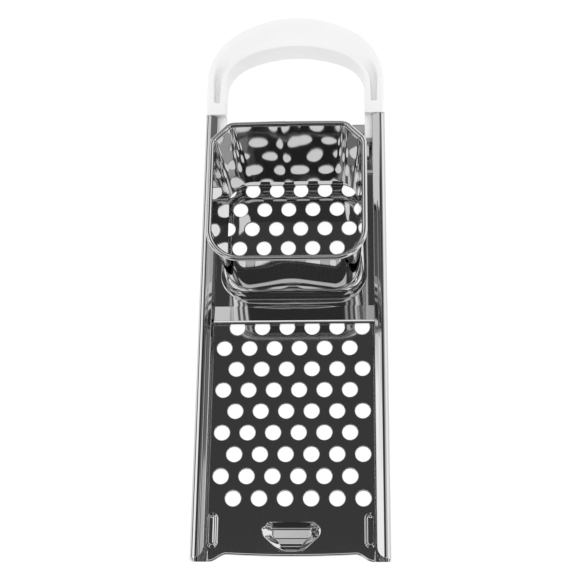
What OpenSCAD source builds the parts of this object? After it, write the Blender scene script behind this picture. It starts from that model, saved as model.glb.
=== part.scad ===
// Sliding noodle maker: a perforated plate between two folded rails, a bow handle
// and a square hopper on a slider that runs along the rails. Lengths in millimetres.
// +Y points to the handle, +Z up, origin under the middle of the whole object.

/* [Perforated plate] */
// Width over the two rails
base_w = 101.8; // [92:0.2:120]
// Length of the rails
rail_len = 251.6; // [246:0.2:290]
// Thickness of the steel sheet
sheet_t = 0.8; // [0.6:0.05:1]
// Height of the plate's top above the surface that the object stands on
plate_top = 5; // [4:0.25:7]
// How far the plate stops short of the rails at the handle end
plate_short = 2.5; // [1:0.5:6]
// Width of the smooth track beside each rail wall
track_w = 7.5; // [6.5:0.5:8]

/* [Drops] */
// Diameter of each hole
hole_d = 8; // [4:0.5:9.5]
// Distance between hole centres
hole_pitch = 13.5; // [12:0.1:14]
// Holes in a row
holes_per_row = 6; // [3:1:6]
// Number of rows
hole_rows = 16; // [6:1:16]
// First row's distance from the free end
first_row = 32.5; // [30:0.5:34]

/* [Rails] */
// Height of each rail above the plate
rail_h = 9.5; // [8.5:0.25:14]
// Width of the rail's top flange
flange_w = 6.2; // [4:0.2:6.4]
// Downward slope of the flange towards the middle, in degrees
flange_slope = 14; // [0:1:18]
// Outer radius of the rail's top bend
rail_top_r = 2.4; // [1.6:0.2:3]
// Outer radius of the bend between track and wall
rail_foot_r = 1.8; // [1.4:0.1:2]
// Radius of the flange's corner at the free end
flange_corner_r = 5; // [2:0.5:5.5]
// How far the flange stops short of the free end
flange_short = 0.5; // [0.5:0.5:4]
// Radius of the flange's corner at the handle end
flange_back_r = 2; // [1:0.2:4]

/* [Free end] */
// How far the ends of the plate's edge are set back between the rails
edge_setback = 3.7; // [1.5:0.1:5]
// How far the middle of that edge bows out again towards the free end
edge_sag = 0.9; // [0:0.1:1.4]
// Distance from the rail's outer face to each end of that edge
edge_in = 17.8; // [16.6:0.2:24]
// Width of the curve at each end of the set-back edge
edge_curve_w = 8.5; // [4:0.5:9]
// Height of the turned-down lip on the plate's edge
edge_lip_h = 1.8; // [1:0.1:2.5]

/* [Pot hook] */
// Width of the pressed hook at its widest
hook_w = 34; // [26:1:40]
// Width of its straight edge towards the handle
hook_back_w = 24; // [16:1:25]
// Width of its edge towards the free end
hook_front_w = 13; // [8:1:18]
// Distance of its straight edge from the free end
hook_back = 20.3; // [18.8:0.1:21]
// Length of the hook along the plate
hook_len = 15.2; // [12:0.5:15.5]
// Distance of the hook's widest place from its straight edge
hook_waist = 5; // [3:0.2:6]
// Width of the hook's floor
floor_w = 22; // [14:1:23]
// Length of the hook's floor along the plate
floor_len = 5; // [4:0.2:6]
// Distance of the hook's floor from its straight edge
floor_back = 2.7; // [2:0.1:4]

/* [End stops] */
// Length of each pressed stop
stop_len = 18.4; // [10:0.2:18.8]
// Width of each pressed stop
stop_w = 6; // [4:0.2:6.2]
// Height of each pressed stop
stop_h = 1.3; // [0.9:0.1:1.6]
// Distance of the stops from the rail's outer face
stop_in = 10.3; // [9.6:0.1:10.6]
// Middle of the free-end stops from the free end
low_stop_at = 16; // [13:0.1:16]
// Middle of the handle-end stops from the free end
high_stop_at = 235; // [232:0.1:237]

/* [Handle] */
// Reach of the bow beyond the rails
bow_reach = 63.8; // [60:0.2:90]
// Width of the bow at its top
bow_top_w = 20; // [14:0.2:26]
// Thickness of the bow
bow_t = 14.8; // [11:0.2:15.6]
// Length over which the underside comes down from the legs to the crown
leg_rise = 36; // [20:1:44]
// Width of each leg
leg_w = 11.4; // [9.4:0.2:12]
// Radius of the bow's outer arch
arch_r = 61.5; // [54:0.5:80]
// Radius of the bow's outer shoulders
shoulder_r = 36.5; // [30:0.5:38]
// Radius of the bow's inner arch
inner_arch_r = 67; // [56:0.5:90]
// Radius of the bow's inner shoulders
inner_shoulder_r = 20.5; // [14:0.5:22]
// Width of the rounded rim along the bow's outside
bow_rim_w = 4.3; // [2.5:0.1:4.6]
// Width of the ridge along the inside of each leg
leg_ridge_w = 3.7; // [2.4:0.1:4]
// Width of that ridge at the crown
crown_ridge_w = 1; // [0.5:0.1:2]
// Depth of the recess along the bow
recess_d = 1.6; // [0.6:0.1:3]
// Depth of the groove in each leg
groove_d = 5; // [3.2:0.2:7]
// Distance from the rails to the start of the groove in each leg
groove_from = 8.5; // [6:0.5:12]
// Distance from the rails to where the deep groove turns into the shallow recess
groove_to = 39; // [30:0.5:42]
// Length of each leg inside its rail
tenon_len = 14.6; // [12:0.2:16]
// Height of each leg inside its rail
tenon_h = 6.4; // [4:0.2:6.6]

/* [Slider] */
// Length of the slider plate
slider_len = 92; // [88:0.5:96]
// Middle of the slider from the free end at rest
slider_at = 173.7; // [160:0.1:174]
// Length of the raised strip at the front
front_strip = 10.4; // [8:0.2:11.8]
// Length of the raised strip at the back
back_strip = 3.2; // [2:0.2:4]
// Rise of the front strip over its length
strip_rise = 0.9; // [0.3:0.1:1.4]
// Rise of the back strip over its length
back_rise = 0.5; // [0.2:0.1:0.8]
// Height of the guides turned up at the slider's sides
guide_h = 5.2; // [2:0.2:5.6]
// Gap between the slider and what it slides on
slide_gap = 0.3; // [0.3:0.05:0.6]
// Gap between each guide and the rail wall
side_gap = 0.7; // [0.6:0.05:1]

/* [Hopper] */
// Outer width of the neck across the rails
neck_w = 78; // [70:0.5:80]
// Outer length of the neck along the rails
neck_l = 68.8; // [64:0.2:71]
// Height of the neck's straight wall
neck_h = 8; // [5:0.5:12]
// Height of the rounded shoulder over the neck
shoulder_h = 4.5; // [3:0.5:7]
// How far the shoulder draws in on each side across the rails
draw_in_w = 2.6; // [1.5:0.1:4]
// How far the shoulder draws in on each side along the rails
draw_in_l = 3.2; // [1.5:0.1:4]
// Outer width of the rolled rim
rim_w = 82.4; // [80:0.2:86]
// Outer length of the rolled rim
rim_l = 78.4; // [76:0.2:82]
// Diameter of the rolled rim
rim_d = 3; // [2.4:0.1:3.6]
// Height of the rim's top above the plate
rim_top = 63; // [45:0.5:90]
// How far the rim sits towards the handle from the middle of the neck
rim_setback = 2.2; // [0:0.1:3]
// How far the rim sits to the right of the middle of the neck
rim_lean = -0.5; // [-1:0.1:1]
// How far the neck sits towards the handle from the middle of the slider
neck_offset = 3.3; // [0:0.1:4]
// Width cut off each corner of the hopper
corner_cut = 8.5; // [6:0.5:11]
// Radius where each corner cut meets a wall
corner_r = 6; // [3:0.5:8]

/* [Hidden] */

// Small overlap that keeps a cut open past a face
eps = 0.05;
// Thickness of the thin slices that a hull is drawn between
skin = 0.02;
// How much a cut corner grows for each millimetre that its outline grows
cut_grow = 2 - sqrt(2);
// How far the hopper wall reaches into the rolled rim
rim_dip = 0.1;
// Gap left where a part nests over a pressed stop
nest_gap = 0.3;
// Gap between a leg and the rail around it
leg_gap = 0.15;

half_w = base_w / 2;
field_half = half_w - track_w;
edge_half_w = half_w - edge_in;
free_end = -(rail_len + bow_reach) / 2;
rail_end = free_end + rail_len;
plate_end = rail_end - plate_short;
plate_low = plate_top - sheet_t;
row_pitch = hole_pitch * sin(60);
wall_in = half_w - sheet_t;

leg_out = wall_in - leg_gap;
leg_in = half_w - leg_w;
bow_top = rail_end + bow_reach;
groove_low = rail_end + groove_from;
groove_high = rail_end + groove_to;

slider_y = free_end + slider_at;
slider_front = slider_y - slider_len / 2;
slider_back = slider_y + slider_len / 2;
slider_low = plate_top + slide_gap;
slider_top = slider_low + sheet_t;
guide_out = wall_in - side_gap;
neck_y = slider_y + neck_offset;
neck_top = slider_top + neck_h;
waist_z = neck_top + shoulder_h;
rim_r = rim_d / 2;
rim_z = plate_top + rim_top - rim_r;
rim_y = neck_y + rim_setback;

// Points of an arc about c, from angle a0 to a1
function arc(c, r, a0, a1, n) = [
    for (i = [0:n]) c + r * [cos(a0 + (a1 - a0) * i / n), sin(a0 + (a1 - a0) * i / n)]
];

// Half outline of an arch: a large arc of radius big with its crown at [0, crown],
// running into a shoulder arc of radius small that ends upright at x = half
function arch_centre(crown, big, small, half) = [
    half - small, crown - big + sqrt(pow(big - small, 2) - pow(half - small, 2))
];
function arch_turn(crown, big, small, half) =
    let (c = arch_centre(crown, big, small, half)) atan2(c[1] - (crown - big), c[0]);
function arch_half(crown, big, small, half) = concat(
    arc(arch_centre(crown, big, small, half), small, 0, arch_turn(crown, big, small, half), 10),
    [for (p = arc([0, crown - big], big, arch_turn(crown, big, small, half), 90, 12)) p]
);

// Outline of an arch standing on y = foot, both sides
module arch(crown, big, small, half, foot) {
    right = arch_half(crown, big, small, half);
    left = [for (i = [len(right) - 1:-1:0]) [-right[i][0], right[i][1]]];
    polygon(concat([[half, foot]], right, left, [[-half, foot]]));
}

// Rectangle of half sizes hx, hy with cut corners whose ends are rounded by r
function cut_corner_pts(hx, hy, cut, r, n = 3) =
    let (
        k = r * tan(22.5),
        start = [
            [hx - r, hy - cut - k, 0], [hx - cut - k, hy - r, 45],
            [-(hx - cut - k), hy - r, 90], [-(hx - r), hy - cut - k, 135],
            [-(hx - r), -(hy - cut - k), 180], [-(hx - cut - k), -(hy - r), 225],
            [hx - cut - k, -(hy - r), 270], [hx - r, -(hy - cut - k), 315]
        ]
    )
    [for (s = start) each arc([s[0], s[1]], r, s[2], s[2] + 45, n)];

// Closed band through a list of rings, each of the same number of points: the rings
// run once round the section of the band, and the last joins the first
module band(rings) {
    n = len(rings[0]);
    m = len(rings);
    points = [for (ring = rings) each ring];
    faces = [
        for (j = [0:m - 1])
            for (i = [0:n - 1])
                for (half = [0, 1])
                    let (
                        a = j * n + i,
                        b = j * n + (i + 1) % n,
                        c = ((j + 1) % m) * n + (i + 1) % n,
                        d = ((j + 1) % m) * n + i
                    )
                    half == 0 ? [a, c, b] : [a, d, c]
    ];
    polyhedron(points, faces);
}

// One ring of the hopper about the middle c, grown outwards by off from half sizes hx, hy
function hopper_ring(hx, hy, c, off = 0) = [
    for (p = cut_corner_pts(hx + off, hy + off, corner_cut + off * cut_grow, corner_r))
        [p[0] + c[0], p[1] + c[1], c[2]]
];

module right_rail_profile() {
    top_in = rail_top_r - sheet_t;
    foot_in = rail_foot_r - sheet_t;
    top_c = [half_w - rail_top_r, rail_h - rail_top_r];
    foot_c = [half_w - rail_foot_r, rail_foot_r - sheet_t];
    translate([field_half, -sheet_t]) square([foot_c[0] - field_half, sheet_t]);
    intersection() {
        difference() {
            translate(foot_c) circle(r = rail_foot_r, $fn = 48);
            translate(foot_c) circle(r = foot_in, $fn = 48);
        }
        translate([foot_c[0], foot_c[1] - rail_foot_r]) square(rail_foot_r);
    }
    translate([wall_in, foot_c[1]]) square([sheet_t, top_c[1] - foot_c[1]]);
    intersection() {
        difference() {
            translate(top_c) circle(r = rail_top_r, $fn = 48);
            translate(top_c) circle(r = top_in, $fn = 48);
        }
        union() {
            translate(top_c) square(rail_top_r);
            translate(top_c) rotate(flange_slope) square(rail_top_r);
        }
    }
    translate(top_c) rotate(flange_slope)
        translate([-(flange_w - rail_top_r), top_in]) square([flange_w - rail_top_r, sheet_t]);
}

module right_rail_solid() {
    flange_in = half_w - flange_w;
    difference() {
        translate([0, rail_end, plate_top]) rotate([90, 0, 0])
            linear_extrude(rail_len) right_rail_profile();
        translate([0, free_end, plate_top + rail_foot_r]) linear_extrude(rail_h)
            difference() {
                translate([flange_in - eps, -eps])
                    square([flange_w - sheet_t + eps, flange_short + flange_corner_r + eps]);
                translate([flange_in + flange_corner_r, flange_short + flange_corner_r])
                    circle(r = flange_corner_r, $fn = 64);
                translate([flange_in + flange_corner_r, flange_short])
                    square([flange_w, flange_corner_r + eps]);
            }
        translate([flange_in, rail_end - flange_back_r, plate_top + rail_foot_r])
            linear_extrude(rail_h) difference() {
                translate([-eps, 0]) square(flange_back_r + eps);
                translate([flange_back_r, 0]) circle(r = flange_back_r, $fn = 64);
            }
    }
}

module left_rail() {
    color("gainsboro") mirror([1, 0, 0]) right_rail_solid();
}

module right_rail() {
    color("gainsboro") right_rail_solid();
}

module plate_outline() {
    steps = 12;
    curve = [
        for (i = [0:steps])
            let (t = i / steps)
            [edge_half_w + edge_curve_w * (1 - t), edge_setback * (3 * t * t - 2 * t * t * t)]
    ];
    middle = [
        for (i = [1:steps - 1])
            let (t = 1 - 2 * i / steps)
            [edge_half_w * t, edge_setback - edge_sag * (1 - t * t)]
    ];
    back = [for (i = [steps:-1:0]) [-curve[i][0], curve[i][1]]];
    translate([0, free_end]) polygon(concat(
        [[field_half, plate_end - free_end], [field_half, 0]], curve, middle, back,
        [[-field_half, 0], [-field_half, plate_end - free_end]]
    ));
}

// Strip of the plate along its set-back edge, as thick as the sheet
module edge_strip() {
    intersection() {
        difference() {
            plate_outline();
            translate([0, sheet_t]) plate_outline();
        }
        translate([-edge_half_w, free_end]) square([2 * edge_half_w, edge_setback + sheet_t]);
    }
}

// Staggered rows of holes, without those that would run into the rails
module hole_pattern() {
    for (row = [0:hole_rows - 1])
        for (i = [0:holes_per_row - 1])
            let (x = (i - (holes_per_row - 1) / 2 + (row % 2 == 0 ? 0.25 : -0.25)) * hole_pitch)
            if (abs(x) + hole_d / 2 < field_half)
                translate([x, free_end + first_row + row * row_pitch, plate_low - eps])
                    cylinder(d = hole_d, h = sheet_t + 2 * eps, $fn = 48);
}

module hook_outline(inset = 0) {
    back = free_end + hook_back - inset;
    front = free_end + hook_back - hook_len + inset;
    waist = back - hook_waist;
    polygon([
        [hook_back_w / 2 - inset / 2, back], [hook_w / 2 - inset, waist],
        [hook_front_w / 2 - inset / 2, front], [-hook_front_w / 2 + inset / 2, front],
        [-hook_w / 2 + inset, waist], [-hook_back_w / 2 + inset / 2, back]
    ]);
}

module perforated_plate() {
    color("silver") difference() {
        union() {
            translate([0, 0, plate_low]) linear_extrude(sheet_t) plate_outline();
            translate([0, 0, plate_top - edge_lip_h]) linear_extrude(edge_lip_h - eps) edge_strip();
        }
        hole_pattern();
        translate([0, 0, plate_low - eps]) linear_extrude(sheet_t + 2 * eps) hook_outline();
    }
}

// Floor of the hook: a short strip under its straight edge, low enough to stand on
module hook_floor(inset) {
    back = free_end + hook_back - floor_back - inset;
    front = back - floor_len + 2 * inset;
    half = floor_w / 2 - inset;
    taper = floor_len / 2;
    polygon([
        [half, back], [half, back - taper + inset], [half - taper, front],
        [-half + taper, front], [-half, back - taper + inset], [-half, back]
    ]);
}

module pot_hook() {
    color("silver") difference() {
        union() {
            translate([0, 0, plate_low]) linear_extrude(sheet_t) hook_outline();
            hull() {
                translate([0, 0, plate_low]) linear_extrude(skin) hook_outline();
                linear_extrude(skin) hook_floor(0);
            }
        }
        hull() {
            translate([0, 0, plate_top]) linear_extrude(skin) hook_outline(sheet_t);
            translate([0, 0, sheet_t]) linear_extrude(skin) hook_floor(sheet_t / 2);
        }
    }
}

// Long domed boss lying on z = 0, its middle at the origin
module stop_dome(grow = 0) {
    w = stop_w / 2 + grow;
    h = stop_h + grow;
    r = (w * w + h * h) / (2 * h);
    run = stop_len / 2 - stop_w / 2;
    intersection() {
        union() {
            translate([0, run, h - r]) rotate([90, 0, 0]) cylinder(r = r, h = 2 * run, $fn = 64);
            for (side = [-1, 1]) translate([0, side * run, h - r]) sphere(r = r, $fn = 64);
        }
        translate([-w - 1, -run - w - 1, 0]) cube([2 * w + 2, 2 * (run + w + 1), h + 1]);
    }
}

module place_stops(at, grow = 0) {
    for (side = [-1, 1])
        translate([side * (half_w - stop_in), free_end + at, plate_top]) stop_dome(grow);
}

module end_stops() {
    color("silver") {
        place_stops(low_stop_at);
        place_stops(high_stop_at);
    }
}

module bow_outline() {
    difference() {
        arch(bow_top, arch_r, shoulder_r, half_w, rail_end);
        arch(bow_top - bow_top_w, inner_arch_r, inner_shoulder_r, leg_in, rail_end - eps);
    }
}

// The recess follows the outer rim at one side and the ridge of the legs at the other,
// where the ridge thins out towards the crown
module recess_outline() {
    difference() {
        arch(bow_top - bow_rim_w, arch_r - bow_rim_w, shoulder_r - bow_rim_w,
            half_w - bow_rim_w, groove_low);
        arch(bow_top - bow_top_w + crown_ridge_w, inner_arch_r - leg_ridge_w,
            inner_shoulder_r + leg_ridge_w - crown_ridge_w, leg_in + leg_ridge_w,
            groove_low - eps);
    }
}

// Side view of the space under the bow: the legs leave the rails at the plate's height and
// their underside comes down to the crown's in a soft wave
module under_legs() {
    steps = 12;
    wave = [
        for (i = [0:steps])
            let (t = i / steps)
            [rail_end + leg_rise * t, plate_top * (1 + cos(180 * t)) / 2]
    ];
    translate([-base_w, 0, 0]) rotate([90, 0, 90]) linear_extrude(2 * base_w)
        polygon(concat([[rail_end + leg_rise, -eps], [rail_end - eps, -eps]],
            [[rail_end - eps, plate_top]], wave));
}

module bow_handle() {
    color("white") difference() {
        union() {
            linear_extrude(bow_t) bow_outline();
            for (side = [-1, 1]) {
                x = side > 0 ? leg_in : -leg_out;
                translate([x, rail_end - tenon_len, plate_top])
                    cube([leg_out - leg_in, tenon_len + eps, tenon_h]);
            }
        }
        translate([0, 0, bow_t - recess_d]) linear_extrude(recess_d + eps) recess_outline();
        translate([0, 0, bow_t - groove_d]) linear_extrude(groove_d + eps) intersection() {
            recess_outline();
            translate([-half_w, groove_low]) square([base_w, groove_high - groove_low]);
        }
        under_legs();
        translate([0, 0, -eps]) place_stops(high_stop_at, nest_gap);
    }
}

// Side view of the slider plate: flat middle, raised strips, lips turned down at both ends
module slider_profile() {
    f = slider_front;
    b = slider_back;
    front_under = strip_rise * (1 - sheet_t / front_strip);
    back_under = back_rise * (1 - sheet_t / back_strip);
    polygon([
        [f, slider_low], [f, slider_top + strip_rise], [f + front_strip, slider_top],
        [b - back_strip, slider_top], [b, slider_top + back_rise], [b, slider_low],
        [b - sheet_t, slider_low], [b - sheet_t, slider_low + back_under],
        [b - back_strip, slider_low], [f + front_strip, slider_low],
        [f + sheet_t, slider_low + front_under], [f + sheet_t, slider_low]
    ]);
}

module slider_plate() {
    half = guide_out - sheet_t;
    color("gainsboro") difference() {
        translate([-half, 0, 0]) rotate([90, 0, 90]) linear_extrude(2 * half) slider_profile();
        translate([0, neck_y, slider_low - eps]) linear_extrude(sheet_t + 2 * eps)
            polygon(cut_corner_pts(neck_w / 2 - sheet_t, neck_l / 2 - sheet_t,
                corner_cut - sheet_t * cut_grow, corner_r));
    }
}

module guide(side) {
    x = side > 0 ? guide_out - sheet_t : -guide_out;
    translate([x, slider_front + front_strip, slider_low])
        cube([sheet_t, slider_len - front_strip - back_strip, guide_h]);
}

module left_guide() {
    color("gainsboro") guide(-1);
}

module right_guide() {
    color("gainsboro") guide(1);
}

// Upright neck on the slider plate and the shoulder that draws in over it
module hopper_neck() {
    steps = 6;
    hx = neck_w / 2;
    hy = neck_l / 2;
    outer = [
        for (i = [0:steps])
            let (a = 90 * i / steps)
            hopper_ring(hx - draw_in_w * (1 - cos(a)), hy - draw_in_l * (1 - cos(a)),
                [0, neck_y, neck_top + shoulder_h * sin(a)])
    ];
    inner = [
        for (i = [steps:-1:0])
            let (a = 90 * i / steps)
            hopper_ring(hx - draw_in_w * (1 - cos(a)), hy - draw_in_l * (1 - cos(a)),
                [0, neck_y, neck_top + (shoulder_h - sheet_t) * sin(a)], -sheet_t)
    ];
    color("silver") band(concat(
        [hopper_ring(hx, hy, [0, neck_y, slider_top])], outer, inner,
        [hopper_ring(hx, hy, [0, neck_y, slider_top], -sheet_t)]
    ));
}

// Sloping hopper wall from the shoulder up to the rolled rim
module hopper_wall() {
    top = [rim_lean, rim_y, rim_z - rim_r + rim_dip];
    low = [0, neck_y, waist_z];
    low_hx = neck_w / 2 - draw_in_w;
    low_hy = neck_l / 2 - draw_in_l;
    top_hx = rim_w / 2 - rim_d + sheet_t;
    top_hy = rim_l / 2 - rim_d + sheet_t;
    color("silver") band([
        hopper_ring(low_hx, low_hy, low),
        hopper_ring(top_hx, top_hy, top),
        hopper_ring(top_hx, top_hy, top, -sheet_t),
        hopper_ring(low_hx, low_hy, low, -sheet_t)
    ]);
}

module rolled_rim() {
    sides = 10;
    color("gainsboro") band([
        for (j = [0:sides - 1])
            let (a = 360 * j / sides)
            hopper_ring(rim_w / 2 - rim_r, rim_l / 2 - rim_r,
                [rim_lean, rim_y, rim_z + rim_r * sin(a)], rim_r * cos(a))
    ]);
}

perforated_plate();
left_rail();
right_rail();
pot_hook();
end_stops();
bow_handle();
slider_plate();
left_guide();
right_guide();
hopper_neck();
hopper_wall();
rolled_rim();
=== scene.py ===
"""Looks of a sliding noodle maker: mirror-polished sheet steel and a white bow handle.

Lengths are millimetres in every formula and become metres where a mesh is made.
+X runs across the rails, +Y along them towards the bow handle, +Z up.
"""

import logging
import math
from dataclasses import dataclass
from enum import Enum
from typing import Callable, Optional, Sequence, Union

import bmesh
import bpy
import numpy as np
from mathutils import Matrix, Vector
from mathutils.geometry import delaunay_2d_cdt


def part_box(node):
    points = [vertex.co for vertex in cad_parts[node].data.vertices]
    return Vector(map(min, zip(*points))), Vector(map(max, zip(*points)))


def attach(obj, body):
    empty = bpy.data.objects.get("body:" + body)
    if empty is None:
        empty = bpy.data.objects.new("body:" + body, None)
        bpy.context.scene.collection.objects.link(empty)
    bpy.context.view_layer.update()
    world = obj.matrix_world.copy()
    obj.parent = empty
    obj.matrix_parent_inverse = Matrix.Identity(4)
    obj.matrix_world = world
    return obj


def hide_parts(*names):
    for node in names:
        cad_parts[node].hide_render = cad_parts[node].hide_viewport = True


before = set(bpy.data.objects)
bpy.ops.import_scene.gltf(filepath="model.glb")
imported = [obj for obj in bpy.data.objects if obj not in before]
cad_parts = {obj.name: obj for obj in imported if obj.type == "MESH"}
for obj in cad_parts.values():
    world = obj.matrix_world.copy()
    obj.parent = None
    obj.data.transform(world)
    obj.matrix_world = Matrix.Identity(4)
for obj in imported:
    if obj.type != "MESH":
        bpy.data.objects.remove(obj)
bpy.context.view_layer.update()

log = logging.getLogger("noodle_maker")
MM = 0.001
NEAR = 0.01
Array = np.ndarray


class Body(str, Enum):
    """The two bodies of the mechanism."""

    BASE = "base"
    SLIDER = "slider"


class Slot(str, Enum):
    """The record's material slots."""

    BASE_STEEL = "polished_steel_base"
    SLIDER_STEEL = "polished_steel_slider"
    HOPPER_STEEL = "polished_steel_hopper"
    PLASTIC = "white_plastic"


# Numbers, vectors and loops

def smooth(t: Array) -> Array:
    """Smooth step from 0 to 1: 3t^2 - 2t^3, with t held between 0 and 1."""
    t = np.clip(t, 0.0, 1.0)
    return t * t * (3.0 - 2.0 * t)


def ease(value: Array, start: float, width: float) -> Array:
    """Smooth step from 0 where value is start to 1 where it is start + width."""
    return smooth((value - start) / width)


def steps(count: int) -> Array:
    """Even steps that leave 0 out and end at 1."""
    return np.linspace(0.0, 1.0, count + 1)[1:]


def quarter(count: int) -> tuple[Array, Array]:
    """Sine, and 1 minus cosine, of count angles from 0 to 90 degrees."""
    turn = np.radians(np.linspace(0.0, 90.0, count))
    return np.sin(turn), 1.0 - np.cos(turn)


def round_off(radius: float, distance: Array) -> Array:
    """What a round edge takes away at a distance d from it: r - root of (r^2 - (r - d)^2)."""
    return radius - np.sqrt(radius ** 2 - np.clip(radius - distance, 0.0, radius) ** 2)


def unit(vectors: Array) -> Array:
    """Vectors (n, d) brought to length 1."""
    return vectors / np.linalg.norm(vectors, axis=1, keepdims=True)


def right_of(vectors: Array) -> Array:
    """Vectors (n, 2) turned a quarter turn to the right."""
    return np.stack([vectors[:, 1], -vectors[:, 0]], 1)


def lift(plan: Array, z: Union[float, Array]) -> Array:
    """Points (..., 2) put at height z, as (..., 3)."""
    return np.concatenate([plan, np.broadcast_to(z, plan.shape[:-1])[..., None]], axis=-1)


def blend(start: Array, end: Array, share: Array) -> Array:
    """Points on the way from each start to its end, (n, d) both, as (n, shares, d)."""
    return start[:, None] + (end - start)[:, None] * share[..., None]


def arc(centre: Sequence[float], radius: float, start: float, end: float, count: int) -> Array:
    """Points of a circle about centre from angle start to end in degrees, as (count, 2)."""
    a = np.radians(np.linspace(start, end, count))
    return np.stack([centre[0] + radius * np.cos(a), centre[1] + radius * np.sin(a)], 1)


def resample(points: Array, count: int, closed: bool = False) -> Array:
    """Spaces points evenly by length along a line or closed loop.

    Args:
        points: Points as (n, d).
        count: Number of new points.
        closed: Whether the last point joins the first.

    Returns:
        Points as (count, d).
    """
    line = np.vstack([points, points[:1]]) if closed else points
    along = np.concatenate([[0.0], np.cumsum(np.linalg.norm(np.diff(line, axis=0), axis=1))])
    at = np.linspace(0.0, along[-1], count, endpoint=not closed)
    return np.stack([np.interp(at, along, column) for column in line.T], 1)


def mitre(loop: Array) -> Array:
    """Outward offset of each point of a counter-clockwise loop for an offset of 1.

    The sum of the two edge normals is divided by 1 plus their dot product, so edges
    stay parallel when the loop grows.

    Args:
        loop: Closed loop as (n, 2).

    Returns:
        Offsets as (n, 2).
    """
    after = right_of(unit(np.roll(loop, -1, axis=0) - loop))
    before = np.roll(after, 1, axis=0)
    return (after + before) / (1.0 + np.sum(after * before, axis=1, keepdims=True))


def rounded_polygon(corners: Array, radius: Union[float, Sequence[float]], count: int) -> Array:
    """Counter-clockwise polygon with round corners, evenly spaced per edge and corner.

    Each corner becomes an arc that touches both edges: it starts at radius times the
    tangent of half the turning angle from the corner.

    Args:
        corners: Corner points as (n, 2).
        radius: One radius, or one for each corner.
        count: Points for each corner arc, and for each straight edge.

    Returns:
        Points as (n * 2 * count, 2).
    """
    radii = np.broadcast_to(np.asarray(radius, float), len(corners))[:, None]
    ahead = unit(np.roll(corners, -1, axis=0) - corners)
    back = np.roll(ahead, 1, axis=0)
    turn = np.arctan2(back[:, 0] * ahead[:, 1] - back[:, 1] * ahead[:, 0], np.sum(back * ahead, axis=1))
    reach = radii * np.tan(turn / 2.0)[:, None]
    first, last = corners - back * reach, corners + ahead * reach
    centre = first - right_of(back) * radii
    start = np.arctan2(first[:, 1] - centre[:, 1], first[:, 0] - centre[:, 0])
    angle = start[:, None] + turn[:, None] * np.linspace(0.0, 1.0, count)
    bends = centre[:, None] + radii[:, None] * np.stack([np.cos(angle), np.sin(angle)], 2)
    edges = blend(last, np.roll(first, -1, axis=0), steps(count + 1)[:-1])
    return np.concatenate([bends, edges], axis=1).reshape(-1, 2)


def inside(points: Array, polygon: Array) -> Array:
    """Whether each point lies in the polygon, by counting the edges to its right.

    Args:
        points: Points as (m, 2).
        polygon: Closed loop as (n, 2).

    Returns:
        Whether each point is inside, as (m,).
    """
    x, y = points[:, :1], points[:, 1:]
    a, b = polygon, np.roll(polygon, -1, axis=0)
    crosses = (a[:, 1] > y) != (b[:, 1] > y)
    run = np.where(b[:, 1] == a[:, 1], 1.0, b[:, 1] - a[:, 1])
    at = (b[:, 0] - a[:, 0]) * (y - a[:, 1]) / run + a[:, 0]
    return np.sum(crosses & (x < at), axis=1) % 2 == 1


def sheet_section(path: Array, thickness: float, round_points: int) -> Array:
    """Closed section of a bent sheet with round edges.

    The path is one face of the sheet and the other face lies the thickness to its
    right. Half circles join them at both ends.

    Args:
        path: Points of one face as (n, 2).
        thickness: Thickness of the sheet.
        round_points: Points of each half circle.

    Returns:
        A closed loop as (2n + 2 * round_points, 2).
    """
    tangent = unit(np.gradient(path, axis=0))
    right = right_of(tangent)
    half = thickness / 2.0
    angle = np.radians(np.linspace(0.0, 180.0, round_points + 2)[1:-1])[:, None]
    ends = [
        path[i] + half * (right[i] * (1.0 + sign * np.cos(angle)) - sign * tangent[i] * np.sin(angle))
        for i, sign in ((-1, -1.0), (0, 1.0))
    ]
    return np.vstack([path, ends[0], (path + right * thickness)[::-1], ends[1]])


# Meshes

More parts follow.
